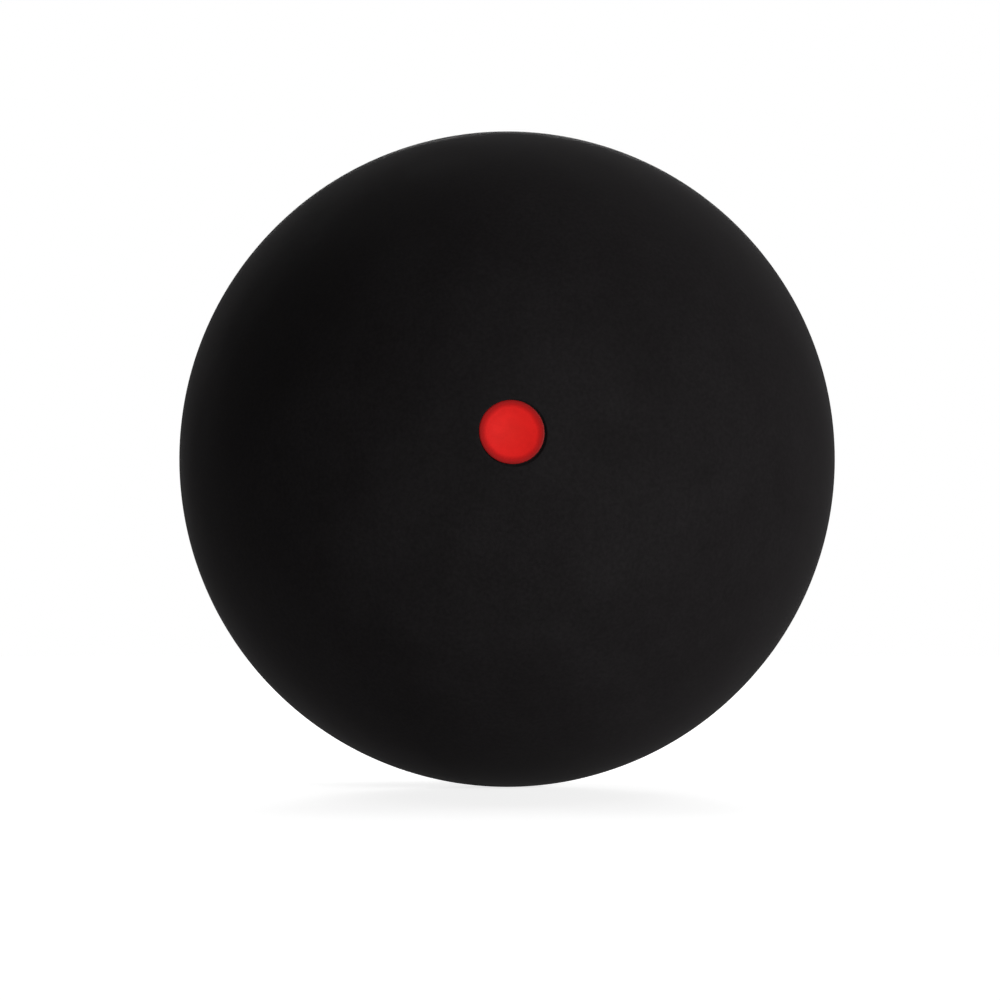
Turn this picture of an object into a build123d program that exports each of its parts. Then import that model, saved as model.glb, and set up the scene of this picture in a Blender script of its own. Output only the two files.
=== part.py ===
from build123d import *
from math import cos, radians, sin
import os

# Squash ball: two moulded rubber half-shells bonded rim to rim, with a colour dot inlaid in the front one.
# The origin is the ball's centre. +Z is up, and the dot faces the front, -Y, turned a little upwards.
# The rims meet at the XZ plane: the rear half-shell fills the +Y side and the front one the -Y side.

# Driving dimensions, in millimetres
ball_diameter = 38.0
wall_thickness = 5.0
bond_thickness = 0.15  # cured cement film between the two buffed rims
bond_setback = 0.03  # how far the film's outer edge lies under the ball's surface
bead_radius = 0.6  # cement squeezed out along the inside of the seam
rim_edge_radius = 0.06  # edge break on the outside of each rim
dot_diameter = 3.6
dot_thickness = 0.4  # at the middle, where the ball's surface stands highest over the flat seat
dot_shoulder_radius = 0.2  # rounding of the dot's outer edge
dot_clearance = 0.15  # open ring between the dot and the wall of its recess
recess_lip_radius = 0.08  # rounding of the recess's mouth

# Where the dot is, in degrees above the horizon and to the right of the front
dot_elevation = 4.6
dot_azimuth = 0.8

# Sizes that follow from these
outer_radius = ball_diameter / 2
inner_radius = outer_radius - wall_thickness
recess_radius = dot_diameter / 2 + dot_clearance
past_surface = 2 * dot_thickness  # from the dot's seat to a little outside the ball

# The dot's flat seat, and the axis that points straight out of it
outwards = Vector(0, -cos(radians(dot_elevation)), sin(radians(dot_elevation))).rotate(Axis.Z, dot_azimuth)
dot_axis = Axis((0, 0, 0), outwards)
dot_seat = Plane(outwards * (outer_radius - dot_thickness), z_dir=outwards)

# Rear half-shell: a hemispherical cup with a flat buffed rim
with BuildPart() as rear_half_shell:
    with BuildSketch(Plane.XY) as cup_profile:
        Circle(outer_radius)
        Circle(inner_radius, mode=Mode.SUBTRACT)
        with Locations((0, bond_thickness / 2)):
            Rectangle(outer_radius, outer_radius, align=Align.MIN, mode=Mode.INTERSECT)
        fillet(cup_profile.vertices().sort_by(Axis.X)[-1], rim_edge_radius)
    revolve(axis=Axis.Y)
rear_half_shell.part.label = "rear_half_shell"

# Front half-shell: the same moulding turned round, with the recess that the dot sits in
with BuildPart() as front_half_shell:
    add(rear_half_shell.part, rotation=(0, 0, 180))
    with BuildSketch(dot_seat):
        Circle(recess_radius)
    extrude(amount=past_surface, mode=Mode.SUBTRACT)
    recess_mouth = front_half_shell.edges(Select.LAST).filter_by(GeomType.CIRCLE).sort_by(dot_axis)[-1]
    fillet(recess_mouth, recess_lip_radius)
front_half_shell.part.label = "front_half_shell"

# Seam bond: the cement film between the rims, and the bead that was squeezed out inside the ball
with BuildPart() as seam_bond:
    with BuildSketch(Plane.XY):
        Circle(outer_radius - bond_setback)
        Circle(inner_radius, mode=Mode.SUBTRACT)
        Rectangle(outer_radius, bond_thickness, align=(Align.MIN, Align.CENTER), mode=Mode.INTERSECT)
    with BuildSketch(Plane.XY):
        with Locations((inner_radius, 0)):
            Circle(bead_radius)
        Circle(inner_radius, mode=Mode.INTERSECT)
    revolve(axis=Axis.Y)
seam_bond.part.label = "seam_bond"

# Colour dot: a thin flat-backed disc whose face carries on the ball's surface, with a rounded outer edge
with BuildPart() as colour_dot:
    with BuildSketch(dot_seat):
        Circle(dot_diameter / 2)
    extrude(amount=past_surface)
    Sphere(outer_radius, mode=Mode.INTERSECT)
    face_edge = colour_dot.edges().filter_by(GeomType.CIRCLE).sort_by(dot_axis)[-1]
    fillet(face_edge, dot_shoulder_radius)
colour_dot.part.label = "colour_dot"

os.makedirs("parts", exist_ok=True)
for piece in (front_half_shell, rear_half_shell, seam_bond, colour_dot):
    export_step(piece.part, f"parts/{piece.part.label}.step")
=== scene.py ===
import math

import bmesh
import bpy
import numpy as np
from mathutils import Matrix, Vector


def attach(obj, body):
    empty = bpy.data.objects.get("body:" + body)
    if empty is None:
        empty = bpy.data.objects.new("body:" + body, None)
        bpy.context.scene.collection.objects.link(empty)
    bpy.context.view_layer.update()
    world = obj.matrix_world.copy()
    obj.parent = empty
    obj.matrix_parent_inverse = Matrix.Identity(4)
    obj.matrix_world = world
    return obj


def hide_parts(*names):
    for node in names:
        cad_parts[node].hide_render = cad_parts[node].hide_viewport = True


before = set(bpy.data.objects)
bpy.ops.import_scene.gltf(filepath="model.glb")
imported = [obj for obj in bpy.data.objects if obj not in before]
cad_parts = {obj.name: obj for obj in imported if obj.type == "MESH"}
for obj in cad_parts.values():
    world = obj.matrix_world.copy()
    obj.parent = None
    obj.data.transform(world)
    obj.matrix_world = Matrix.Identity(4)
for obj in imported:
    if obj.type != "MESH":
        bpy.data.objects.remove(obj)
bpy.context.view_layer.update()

# A squash ball on a plain white floor: two half-shells of black rubber, the cement between their rims, and a
# red dot inlaid in the front one. The origin is the ball's centre, +Z is up and the front is -Y

# Sizes of the ball, in metres, as in the CAD model
BALL_RADIUS = 0.019
WALL_THICKNESS = 0.005
BOND_THICKNESS = 0.00015
BOND_SETBACK = 0.00003
BEAD_RADIUS = 0.0006
RIM_EDGE_RADIUS = 0.00006
DOT_RADIUS = 0.0018
DOT_THICKNESS = 0.0004

# Where the dot is, in degrees to the right of the front and above the horizon
DOT_AZIMUTH = 0.8
DOT_ELEVATION = 4.6

# Sides of the seam's plane, along Y
FRONT = -1
REAR = 1

# Sizes that follow from these
INNER_RADIUS = BALL_RADIUS - WALL_THICKNESS
RIM_HEIGHT = BOND_THICKNESS / 2
SEAT_HEIGHT = BALL_RADIUS - DOT_THICKNESS

# Turns round the dot are in degrees anticlockwise from its right.
# Its outline is a little oval: how much, as a share of its radius, and the turn of its long axis
OVAL_SHARE = 0.016
OVAL_TURN = 153
OUTLINE_WOBBLE = 0.003  # how far the outline strays from the oval, as a share of the radius
OUTLINE_WAVES = (3, 9)  # fewest and most waves round the outline

# The dot's face, in metres: it is dished, with a fine raised line round the dish, and rounds off at its edge
DISH_RADIUS = 0.00170
DISH_DEPTH = 0.00018
DISH_POWER = 1.5  # the higher, the softer the dish's edge
EDGE_DROP = 0.00001
RAISED_LINE_RADIUS = 0.00174
RAISED_LINE_WIDTH = 0.00004
RAISED_LINE_HEIGHT = 0.000006
SEAT_GAP = 0.00001  # keeps the dot clear of the rubber round it and under it

# The groove round the dot, in metres: least and greatest width and depth, and the turn where it is widest
GROOVE_WIDTHS = (0.00006, 0.00021)
GROOVE_DEPTHS = (0.00002, 0.00017)
GROOVE_OPEN_TURN = -50

# Unevenness of the moulded rubber: the range of wavelengths and the greatest depth, in metres
WAVE_LENGTHS = (0.0022, 0.0075)
WAVE_DEPTH = 0.00007
WAVE_COUNT = 60
WAVE_MEAN = 0.5  # mean depth, as a share of the greatest
WAVE_SWING = 1.5  # heights of all the waves together, as a share of the greatest depth
WAVE_FADE = 0.08  # share of the way from pole to rim over which the waves fade out at each end

# The seam wanders by the sway, in metres, and its width varies by the swell, as a share. Each fades out over
# a reach on both sides of the seam, in metres, and has from fewest to most waves round the ball
SEAM_SWAY = 0.00004
SWAY_REACH = 0.0015
SWAY_WAVES = (2, 24)
SEAM_SWELL = 0.3
SWELL_REACH = 0.0004
SWELL_WAVES = (10, 60)

# The outer edge of the cement film: its least setback, as a share of the CAD model's, and how much further
# back it lies at the rims than midway between them, as a share of the setback
LEAST_SETBACK = 0.5
FILM_ROUNDING = 0.3

# Mesh density
SEGMENTS = 320
OUTER_RINGS = 150
INNER_RINGS = 40
DOT_RINGS = 48
GROOVE_RINGS = 9
FLAT_RINGS = 6
ARC_STEPS = 6
BEAD_STEPS = 18
SHARP_EDGE = 50  # degrees between faces

# Noise in the materials: octaves, how strong the fine ones are, and the range that most of it lies in
NOISE_DETAIL = 4.0
NOISE_ROUGHNESS = 0.6
NOISE_RANGE = (0.34, 0.66)

# Moulded rubber: sizes in metres, linear colours, and shades that the grain multiplies them by
CLOUD_SIZE = 0.005
GRAIN_SIZE = 0.00022
PIT_SPACING = 0.0016
PIT_EDGE = (0.05, 0.16)  # where a pit's side begins and ends, as a share of the spacing
PIT_DEPTH = 0.6  # as a share of the relief
RUBBER_RELIEF = 0.000006
RUBBER_COLOURS = ((0.0084, 0.0076, 0.0079), (0.0109, 0.0100, 0.0104))
GRAIN_SHADES = ((0.86, 0.86, 0.86), (1.16, 1.16, 1.16))
RUBBER_ROUGHNESS = (0.74, 0.86)
RUBBER_SPECULAR = 0.015

# Cured cement, a shade paler than the rubber
STREAK_SIZE = 0.0008
CEMENT_RELIEF = 0.00002
CEMENT_COLOURS = ((0.011, 0.0102, 0.0100), (0.019, 0.0180, 0.0175))
CEMENT_ROUGHNESS = (0.5, 0.7)
CEMENT_SPECULAR = 0.03

# Red rubber of the dot: its colours by distance from the middle, as a share of the radius. The darker border
# is partly the black showing through and partly painted shade of the dot's rounded edge
DOT_COLOURS_AND_EDGE_SHADE = (
    (0.0, (0.660, 0.0135, 0.0100)),
    (0.76, (0.640, 0.0095, 0.0080)),
    (0.86, (0.410, 0.0040, 0.0040)),
    (0.93, (0.315, 0.0050, 0.0050)),
    (0.99, (0.220, 0.0040, 0.0040)),
)
COLOUR_STRAY = (-0.03, 0.03)  # how far the colours stray inwards and outwards from patch to patch
PATCH_SIZE = 0.0009
PATCH_SHADES = ((0.93, 0.90, 0.90), (1.05, 1.10, 1.10))
DOT_GRAIN_SIZE = 0.00012
DOT_RELIEF = 0.000006
DOT_ROUGHNESS = (0.48, 0.62)
DOT_SPECULAR = 0.10

# The photograph's frame: the ball's centre and its outline's radius, in pixels of a square image
IMAGE_SIZE = 1000
BALL_CENTRE_PIXEL = (507.05, 459.2)
BALL_RADIUS_PIXELS = 327.9
CAMERA_DISTANCE = 0.45
SENSOR_WIDTH = 36.0

# Softboxes, all at one distance in metres: name, azimuth and elevation in degrees, width and height in
# metres, power in watts. The rear one is small, so that its light stays off the front
SOFTBOX_DISTANCE = 0.50
SOFTBOXES = (
    ("key_softbox", 40, 6, 0.30, 0.10, 2.48),
    ("rear_softbox", 180, 6, 0.10, 0.10, 2.40),
    ("upper_right_softbox", 150, 42, 0.30, 0.30, 0.50),
    ("upper_left_softbox", 210, 42, 0.30, 0.30, 0.50),
)
FLOOR_SIZE = 6.0
FLOOR_COLOUR = 0.8  # grey level near the ball
FLOOR_ROUGHNESS = 0.9
FLOOR_SPECULAR = 0.0
FLOOR_BOUNCE = 0.25  # soft light that the floor gives the ball from below

# The floor's glow makes it white to the camera and in reflections. It is weaker round the ball, so that the
# shadow shows. Between these distances from the ball's centre, in metres, it rises to plain white, and the
# floor's own colour fades to black, so that the lamps don't make the far floor brighter than white
NEAR_GLOW = 0.75
FAR_GLOW = 1.0
GLOW_DISTANCES = (0.06, 0.30)

WHITE = (1.0, 1.0, 1.0, 1.0)
RANDOM_SEED = 38

# The turns, in radians, at which every ring has its points
TURNS = np.linspace(0, 2 * math.pi, SEGMENTS, endpoint=False)
random = np.random.default_rng(RANDOM_SEED)


def direction(azimuth, elevation):
    """Unit vector at these angles in degrees: azimuth 0 is the front, -Y, and 90 is the right, +X."""
    a = math.radians(azimuth)
    e = math.radians(elevation)
    return np.array((math.sin(a) * math.cos(e), -math.cos(a) * math.cos(e), math.sin(e)))


def spokes(axis):
    """Unit vectors square to the axis at each turn: anticlockwise from the right, seen from outside."""
    right = np.cross((0.0, 0.0, 1.0), axis)
    right /= np.linalg.norm(right)
    up = np.cross(axis, right)
    return np.cos(TURNS)[:, None] * right + np.sin(TURNS)[:, None] * up


def circle(axis, height, radius):
    """A ring of points round an axis through the origin. Height and radius may vary from point to point."""
    height = np.broadcast_to(height, SEGMENTS)[:, None]
    radius = np.broadcast_to(radius, SEGMENTS)[:, None]
    return axis * height + spokes(axis) * radius


def on_ball(radius):
    """Height along an axis at which the ball's surface is this far from the axis."""
    return np.sqrt(BALL_RADIUS ** 2 - radius ** 2)


def smooth_step(low, high, value):
    """A smooth step from 0 at low to 1 at high, which may be the smaller of the two."""
    share = np.clip((value - low) / (high - low), 0, 1)
    return share * share * (3 - 2 * share)


def random_relief():
    """A smooth random depth for points in space, from 0 to 1: a sum of plane waves, cut off at both ends."""
    aim = random.normal(size=(WAVE_COUNT, 3))
    aim /= np.linalg.norm(aim, axis=1, keepdims=True)
    length = random.uniform(*WAVE_LENGTHS, WAVE_COUNT)
    phase = random.uniform(0, 2 * math.pi, WAVE_COUNT)
    wave_vectors = aim * (2 * math.pi / length)[:, None]
    strength = WAVE_SWING * length / length.sum()

    def depth(points):
        return np.clip(WAVE_MEAN + np.cos(points @ wave_vectors.T + phase) @ strength, 0, 1)

    return depth


def random_wander(fewest, most):
    """A smooth random value from -1 to 1 at any turn: a sum of waves.

    fewest and most are how many periods of a wave go into a circle.
    """
    waves = np.arange(fewest, most + 1)
    strength = random.uniform(-1, 1, len(waves)) / waves
    phase = random.uniform(0, 2 * math.pi, len(waves))

    def height(turns):
        return np.cos(np.multiply.outer(turns, waves) + phase) @ strength

    peak = np.abs(height(TURNS)).max()
    return lambda turns: height(turns) / peak


def seam_drift():
    """A function that moves the points of rings along Y near the seam, so that it isn't ruled straight."""
    sway = random_wander(*SWAY_WAVES)
    swell = random_wander(*SWELL_WAVES)

    def drifted(rings):
        moved = []
        for ring in rings:
            x, y, z = ring.T
            turns = np.arctan2(z, x)
            wander = SEAM_SWAY * sway(turns) * np.exp(-(y / SWAY_REACH) ** 2)
            widening = SEAM_SWELL * swell(turns) * np.exp(-(y / SWELL_REACH) ** 2)
            moved.append(np.stack((x, y * (1 + widening) + wander, z), 1))
        return moved

    return drifted


def piece_from_rings(name, rings, joins_up):
    """A closed mesh through rings of points, which ends in single points or joins up with its start."""
    starts = np.cumsum([0] + [len(ring) for ring in rings])
    pairs = list(zip(range(len(rings) - 1), range(1, len(rings))))
    if joins_up:
        pairs.append((len(rings) - 1, 0))
    faces = []
    for low, high in pairs:
        a = starts[low] + np.arange(len(rings[low]))
        b = starts[high] + np.arange(len(rings[high]))
        if len(a) == 1:
            corners = (np.broadcast_to(a, len(b)), np.roll(b, -1), b)
        elif len(b) == 1:
            corners = (a, np.roll(a, -1), np.broadcast_to(b, len(a)))
        else:
            corners = (a, np.roll(a, -1), np.roll(b, -1), b)
        faces += np.stack(corners, 1).tolist()
    mesh = bpy.data.meshes.new(name)
    mesh.from_pydata(np.concatenate(rings).tolist(), [], faces)
    shape = bmesh.new()
    shape.from_mesh(mesh)
    bmesh.ops.recalc_face_normals(shape, faces=shape.faces)
    shape.to_mesh(mesh)
    shape.free()
    mesh.shade_smooth()
    mesh.set_sharp_from_angle(angle=math.radians(SHARP_EDGE))
    piece = bpy.data.objects.new(name, mesh)
    bpy.context.scene.collection.objects.link(piece)
    return piece


def dot_outline():
    """The dot's radius at each turn."""
    oval = OVAL_SHARE * np.cos(2 * (TURNS - math.radians(OVAL_TURN)))
    wobble = OUTLINE_WOBBLE * random_wander(*OUTLINE_WAVES)(TURNS)
    return DOT_RADIUS * (1 + oval + wobble)


def recess_rings(axis, outline):
    """Rings of the dot's recess, from the middle of its floor and up the groove round the dot.

    Also gives the angle from the axis at which they reach the ball's surface, at each turn.
    """
    # Goes from 1, where the groove is widest, to 0 on the other side
    openness = 0.5 + 0.5 * np.cos(TURNS - math.radians(GROOVE_OPEN_TURN))
    width = np.interp(openness, (0, 1), GROOVE_WIDTHS)
    depth = np.interp(openness, (0, 1), GROOVE_DEPTHS)
    edge = outline + SEAT_GAP
    rings = [axis[None, :] * SEAT_HEIGHT]
    for share in np.linspace(0, 1, FLAT_RINGS + 1)[1:]:
        rings.append(circle(axis, SEAT_HEIGHT, edge * share))
    for share in np.linspace(0, 1, GROOVE_RINGS):
        radius = edge + width * share
        rings.append(circle(axis, on_ball(radius) - depth * smooth_step(1, 0, share), radius))
    return rings, np.arcsin((edge + width) / BALL_RADIUS)


def half_shell_rings(axis, side, relief, pole_rings, pole_angle):
    """Rings of a half-shell from the pole on its axis, over the rim, to the inside. side is FRONT or REAR.

    pole_rings come first, and reach the ball's surface at pole_angle from the axis.
    """
    outwards = spokes(axis)

    def on_sphere(radius, angle):
        angle = np.broadcast_to(angle, SEGMENTS)[:, None]
        return radius * (np.cos(angle) * axis + np.sin(angle) * outwards)

    def rim_angle(sine):
        """Angle from the axis, at each turn, of the direction that leaves the seam plane at this sine."""
        along = side * axis[1]
        across = side * outwards[:, 1]
        return np.arctan2(across, along) + np.arccos(sine / np.hypot(along, across))

    # The outside, which is a little uneven but true at the dot and at the rim
    rings = list(pole_rings)
    edge_height = RIM_HEIGHT + RIM_EDGE_RADIUS
    edge_sine = edge_height / (BALL_RADIUS - RIM_EDGE_RADIUS)
    end_angle = rim_angle(edge_sine)
    for share in np.linspace(0, 1, OUTER_RINGS + 1)[1:]:
        points = on_sphere(BALL_RADIUS, pole_angle + share * (end_angle - pole_angle))
        fade = smooth_step(0, WAVE_FADE, share) * smooth_step(1, 1 - WAVE_FADE, share)
        rings.append(points * (1 - WAVE_DEPTH * fade / BALL_RADIUS * relief(points)[:, None]))

    # The rounded edge of the rim, the flat rim and the inside
    rim_spokes = rings[-1] * (1, 0, 1)
    rim_spokes /= np.linalg.norm(rim_spokes, axis=1, keepdims=True)
    edge_reach = math.sqrt((BALL_RADIUS - RIM_EDGE_RADIUS) ** 2 - edge_height ** 2)
    for angle in np.linspace(math.asin(edge_sine), -math.pi / 2, ARC_STEPS)[1:]:
        height = side * (edge_height + RIM_EDGE_RADIUS * math.sin(angle))
        rings.append(rim_spokes * (edge_reach + RIM_EDGE_RADIUS * math.cos(angle)) + (0, height, 0))
    inner_angle = rim_angle(RIM_HEIGHT / INNER_RADIUS)
    for share in np.linspace(1, 0, INNER_RINGS + 1)[:-1]:
        rings.append(on_sphere(INNER_RADIUS, share * inner_angle))
    rings.append(axis[None, :] * INNER_RADIUS)
    return rings


def seam_bond_rings(axis, relief):
    """Rings of the cement: the uneven outer edge of the film, then the bead that stands into the cavity."""
    setback = BOND_SETBACK * (LEAST_SETBACK + relief(circle(axis, 0, BALL_RADIUS)))
    rings = []
    for share in np.linspace(-1, 1, ARC_STEPS):
        reach = BALL_RADIUS - setback * (1 + FILM_ROUNDING * share ** 2)
        rings.append(circle(axis, share * RIM_HEIGHT, reach))
    film_reach = math.sqrt(INNER_RADIUS ** 2 - RIM_HEIGHT ** 2)
    rings.append(circle(axis, RIM_HEIGHT, film_reach))
    bead_end = math.acos(BEAD_RADIUS / (2 * INNER_RADIUS))
    for angle in np.linspace(bead_end, -bead_end, BEAD_STEPS):
        reach = INNER_RADIUS - BEAD_RADIUS * math.cos(angle)
        rings.append(circle(axis, BEAD_RADIUS * math.sin(angle), reach))
    rings.append(circle(axis, -RIM_HEIGHT, film_reach))
    return rings


def dot_depth(radius):
    """How far the dot's face lies under the ball's surface, at a distance from the dot's axis."""
    dish_share = min(radius / DISH_RADIUS, 1)
    dish = DISH_DEPTH * (1 - dish_share ** 2) ** DISH_POWER
    edge_share = max(radius - DISH_RADIUS, 0) / (DOT_RADIUS - DISH_RADIUS)
    edge = EDGE_DROP * (1 - math.sqrt(1 - edge_share ** 2))
    raised_line = RAISED_LINE_HEIGHT * math.exp(-((radius - RAISED_LINE_RADIUS) / RAISED_LINE_WIDTH) ** 2)
    # The top of the line is level with the ball's surface
    return RAISED_LINE_HEIGHT + dish + edge - raised_line


def dot_rings(axis, outline):
    """Rings of the colour dot, from the middle of its face to the middle of its flat back.

    Also gives each ring's place in the dot's colours: its share of the radius on the face, 1 on the back.
    """
    rings = [axis[None, :] * (BALL_RADIUS - dot_depth(0))]
    shares = [0.0]
    # Rings close up towards the outside, where the face is shaped
    for angle in np.linspace(0, math.pi / 2, DOT_RINGS + 1)[1:]:
        share = min(math.sin(angle), 1.0)
        radius = outline * share
        rings.append(circle(axis, on_ball(radius) - dot_depth(DOT_RADIUS * share), radius))
        shares.append(share)
    back_height = SEAT_HEIGHT + SEAT_GAP
    for share in np.linspace(1, 0, FLAT_RINGS + 1)[:-1]:
        rings.append(circle(axis, back_height, outline * share))
        shares.append(1.0)
    rings.append(axis[None, :] * back_height)
    shares.append(1.0)
    return rings, shares


def add_node(tree, kind, inputs=None, **settings):
    """A new node with these settings, and with these values on its inputs."""
    node = tree.nodes.new(kind)
    for name, value in settings.items():
        setattr(node, name, value)
    for name, value in (inputs or {}).items():
        node.inputs[name].default_value = value
    return node


def new_material(name, specular):
    """A new material, its node tree, its principled shader, and its object's coordinates in metres."""
    material = bpy.data.materials.new(name)
    material.use_nodes = True
    tree = material.node_tree
    shader = tree.nodes["Principled BSDF"]
    shader.inputs["Specular IOR Level"].default_value = specular
    coordinates = add_node(tree, "ShaderNodeTexCoord")
    return material, tree, shader, coordinates.outputs["Object"]


def noise(tree, place, size):
    """Noise whose features are about this size, in metres."""
    settings = {"Scale": 1 / size, "Detail": NOISE_DETAIL, "Roughness": NOISE_ROUGHNESS}
    node = add_node(tree, "ShaderNodeTexNoise", settings)
    tree.links.new(place, node.inputs["Vector"])
    return node.outputs["Fac"]


def ramp(tree, value, stops):
    """Colours at places from 0 to 1 along a value."""
    node = add_node(tree, "ShaderNodeValToRGB")
    bands = node.color_ramp.elements
    while len(bands) < len(stops):
        bands.new(0.5)  # its place is set below
    for band, (place, colour) in zip(bands, stops):
        band.position = place
        band.color = (*colour, 1.0)
    tree.links.new(value, node.inputs["Fac"])
    return node.outputs["Color"]


def two_tone(tree, value, colours):
    """From the first colour to the second as a noise goes over its usual range."""
    return ramp(tree, value, tuple(zip(NOISE_RANGE, colours)))


def between(tree, value, old_range, new_range):
    """A value carried over from one range to another."""
    names = ("From Min", "From Max", "To Min", "To Max")
    node = add_node(tree, "ShaderNodeMapRange", dict(zip(names, (*old_range, *new_range))))
    tree.links.new(value, node.inputs["Value"])
    return node.outputs["Result"]


def combine(tree, operation, first, second):
    """The result of a math operation on two values, each a socket or a number."""
    node = add_node(tree, "ShaderNodeMath", operation=operation)
    for socket, value in zip(node.inputs, (first, second)):
        if isinstance(value, (int, float)):
            socket.default_value = value
        else:
            tree.links.new(value, socket)
    return node.outputs["Value"]


def multiply_colours(tree, first, second):
    node = add_node(tree, "ShaderNodeVectorMath", operation="MULTIPLY")
    tree.links.new(first, node.inputs[0])
    tree.links.new(second, node.inputs[1])
    return node.outputs["Vector"]


def add_bump(tree, shader, height, depth):
    """Gives a shader bumps that are this deep, in metres, for a height of 1."""
    bump = add_node(tree, "ShaderNodeBump", {"Strength": 1.0, "Distance": depth})
    tree.links.new(height, bump.inputs["Height"])
    tree.links.new(bump.outputs["Normal"], shader.inputs["Normal"])


def black_rubber():
    """Matt moulded rubber: soft cloudy mottling, a fine buffed grain and a few shallow pits."""
    material, tree, shader, place = new_material("moulded_rubber", RUBBER_SPECULAR)
    clouds = noise(tree, place, CLOUD_SIZE)
    grain = noise(tree, place, GRAIN_SIZE)
    cloud_colour = two_tone(tree, clouds, RUBBER_COLOURS)
    grain_shade = two_tone(tree, grain, GRAIN_SHADES)
    tree.links.new(multiply_colours(tree, cloud_colour, grain_shade), shader.inputs["Base Color"])
    mean_noise = combine(tree, "MULTIPLY", combine(tree, "ADD", clouds, grain), 0.5)
    tree.links.new(between(tree, mean_noise, NOISE_RANGE, RUBBER_ROUGHNESS), shader.inputs["Roughness"])
    cells = add_node(tree, "ShaderNodeTexVoronoi", {"Scale": 1 / PIT_SPACING})
    tree.links.new(place, cells.inputs["Vector"])
    pits = between(tree, cells.outputs["Distance"], PIT_EDGE, (0.0, PIT_DEPTH))
    add_bump(tree, shader, combine(tree, "ADD", grain, pits), RUBBER_RELIEF)
    return material


def rubber_cement():
    """Cured cement: a shade paler than the rubber, with a faint skin."""
    material, tree, shader, place = new_material("cured_cement", CEMENT_SPECULAR)
    streaks = noise(tree, place, STREAK_SIZE)
    tree.links.new(two_tone(tree, streaks, CEMENT_COLOURS), shader.inputs["Base Color"])
    tree.links.new(between(tree, streaks, NOISE_RANGE, CEMENT_ROUGHNESS), shader.inputs["Roughness"])
    add_bump(tree, shader, streaks, CEMENT_RELIEF)
    return material


def red_dot():
    """Bright red on the dot's middle, duller and darker on its border: partly the black showing through,
    partly painted shade.
    """
    material, tree, shader, place = new_material("red_rubber", DOT_SPECULAR)
    edge_share = add_node(tree, "ShaderNodeAttribute", attribute_name="edge_share").outputs["Fac"]
    patches = noise(tree, place, PATCH_SIZE)
    grain = noise(tree, place, DOT_GRAIN_SIZE)
    strayed = combine(tree, "ADD", edge_share, between(tree, patches, NOISE_RANGE, COLOUR_STRAY))
    # Darker towards the edge: partly the black showing through, partly painted shade of the rounded edge
    colour = multiply_colours(tree, ramp(tree, strayed, DOT_COLOURS_AND_EDGE_SHADE), two_tone(tree, patches, PATCH_SHADES))
    tree.links.new(colour, shader.inputs["Base Color"])
    tree.links.new(between(tree, grain, NOISE_RANGE, DOT_ROUGHNESS), shader.inputs["Roughness"])
    add_bump(tree, shader, grain, DOT_RELIEF)
    return material


def add_piece(name, rings, material, joins_up=False):
    """A finished piece, which stands for the CAD node of the same name."""
    piece = piece_from_rings(name + "_visual", rings, joins_up)
    piece.data.materials.append(material)
    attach(piece, "root")
    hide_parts(name)
    return piece


def add_edge_share(piece, rings, shares):
    """Stores each corner's place in the dot's colours, which is its ring's share."""
    values = np.repeat(shares, [len(ring) for ring in rings])
    piece.data.attributes.new("edge_share", "FLOAT", "POINT").data.foreach_set("value", values)


def add_ball():
    """The ball's four pieces."""
    front_axis = direction(DOT_AZIMUTH, DOT_ELEVATION)
    rear_axis = np.array((0.0, 1.0, 0.0))
    relief = random_relief()
    outline = dot_outline()
    drifted = seam_drift()
    rubber = black_rubber()
    recess, recess_angle = recess_rings(front_axis, outline)
    rear_pole = [rear_axis[None, :] * BALL_RADIUS]
    front = half_shell_rings(front_axis, FRONT, relief, recess, recess_angle)
    rear = half_shell_rings(rear_axis, REAR, relief, rear_pole, 0.0)
    bond = seam_bond_rings(rear_axis, relief)
    add_piece("front_half_shell", drifted(front), rubber)
    add_piece("rear_half_shell", drifted(rear), rubber)
    add_piece("seam_bond", drifted(bond), rubber_cement(), joins_up=True)
    dot, shares = dot_rings(front_axis, outline)
    colour_dot = add_piece("colour_dot", dot, red_dot())
    add_edge_share(colour_dot, dot, shares)


def background_rays(tree):
    """1 for rays that see the background: from the camera, in reflections and through clear things."""
    path = add_node(tree, "ShaderNodeLightPath")
    seen = combine(tree, "MAXIMUM", path.outputs["Is Camera Ray"], path.outputs["Is Glossy Ray"])
    return combine(tree, "MAXIMUM", seen, path.outputs["Is Transmission Ray"])


def add_world():
    """Surroundings that are white to the camera and in reflections, and give no other light."""
    world = bpy.data.worlds.new("white_surroundings")
    world.use_nodes = True
    tree = world.node_tree
    background = tree.nodes["Background"]
    background.inputs["Color"].default_value = WHITE
    tree.links.new(background_rays(tree), background.inputs["Strength"])
    bpy.context.scene.world = world


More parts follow.
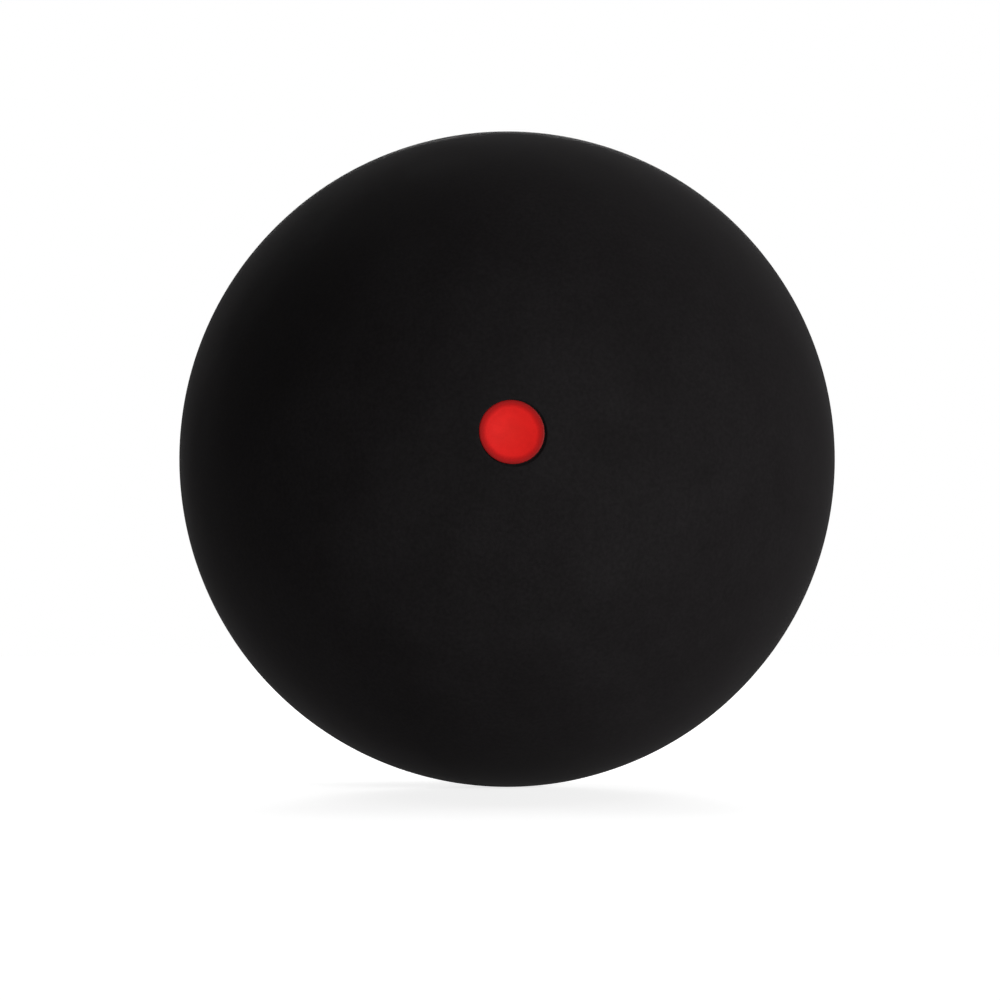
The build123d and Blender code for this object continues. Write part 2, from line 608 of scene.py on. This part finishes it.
def add_floor():
    """A plain white floor under the ball. Near the ball it is lit by the lamps and takes a shadow."""
    half = FLOOR_SIZE / 2
    corners = [(x, y, -BALL_RADIUS) for x, y in ((-half, -half), (half, -half), (half, half), (-half, half))]
    mesh = bpy.data.meshes.new("floor")
    mesh.from_pydata(corners, [], [(0, 1, 2, 3)])
    floor = bpy.data.objects.new("floor", mesh)
    bpy.context.scene.collection.objects.link(floor)
    material, tree, shader, place = new_material("white_floor", FLOOR_SPECULAR)
    shader.inputs["Roughness"].default_value = FLOOR_ROUGHNESS
    shader.inputs["Emission Color"].default_value = WHITE
    length = add_node(tree, "ShaderNodeVectorMath", operation="LENGTH")
    tree.links.new(place, length.inputs["Vector"])
    distance = length.outputs["Value"]
    lit_colour = between(tree, distance, GLOW_DISTANCES, (FLOOR_COLOUR, 0.0))
    tree.links.new(lit_colour, shader.inputs["Base Color"])
    glow = between(tree, distance, GLOW_DISTANCES, (NEAR_GLOW, FAR_GLOW))
    seen = background_rays(tree)
    shown = combine(tree, "MULTIPLY", seen, glow)
    bounced = combine(tree, "MULTIPLY", combine(tree, "SUBTRACT", 1.0, seen), FLOOR_BOUNCE)
    tree.links.new(combine(tree, "ADD", shown, bounced), shader.inputs["Emission Strength"])
    mesh.materials.append(material)


def add_softboxes():
    """Rectangular lamps that face the ball. The camera doesn't see them."""
    for name, azimuth, elevation, width, height, power in SOFTBOXES:
        lamp = bpy.data.lights.new(name, "AREA")
        lamp.shape = "RECTANGLE"
        lamp.size = width
        lamp.size_y = height
        lamp.energy = power
        softbox = bpy.data.objects.new(name, lamp)
        aim = Vector(direction(azimuth, elevation))
        softbox.location = aim * SOFTBOX_DISTANCE
        softbox.rotation_euler = (-aim).to_track_quat("-Z", "Y").to_euler()
        softbox.visible_camera = False
        bpy.context.scene.collection.objects.link(softbox)


def add_camera():
    """A camera level with the ball's centre, aimed so that the ball lies where it does in the photograph."""
    focal_pixels = BALL_RADIUS_PIXELS / math.tan(math.asin(BALL_RADIUS / CAMERA_DISTANCE))
    pixel = CAMERA_DISTANCE / focal_pixels
    right = BALL_CENTRE_PIXEL[0] - IMAGE_SIZE / 2
    up = IMAGE_SIZE / 2 - BALL_CENTRE_PIXEL[1]
    lens = bpy.data.cameras.new("camera")
    lens.sensor_width = SENSOR_WIDTH
    lens.lens = focal_pixels * SENSOR_WIDTH / IMAGE_SIZE
    camera = bpy.data.objects.new("camera", lens)
    camera.location = (0.0, -CAMERA_DISTANCE, 0.0)
    aim = Vector((-right * pixel, 0.0, -up * pixel)) - camera.location
    camera.rotation_euler = aim.to_track_quat("-Z", "Y").to_euler()
    bpy.context.scene.collection.objects.link(camera)
    bpy.context.scene.camera = camera


add_ball()
add_floor()
add_softboxes()
add_world()
add_camera()
bpy.context.scene.view_settings.view_transform = "Standard"
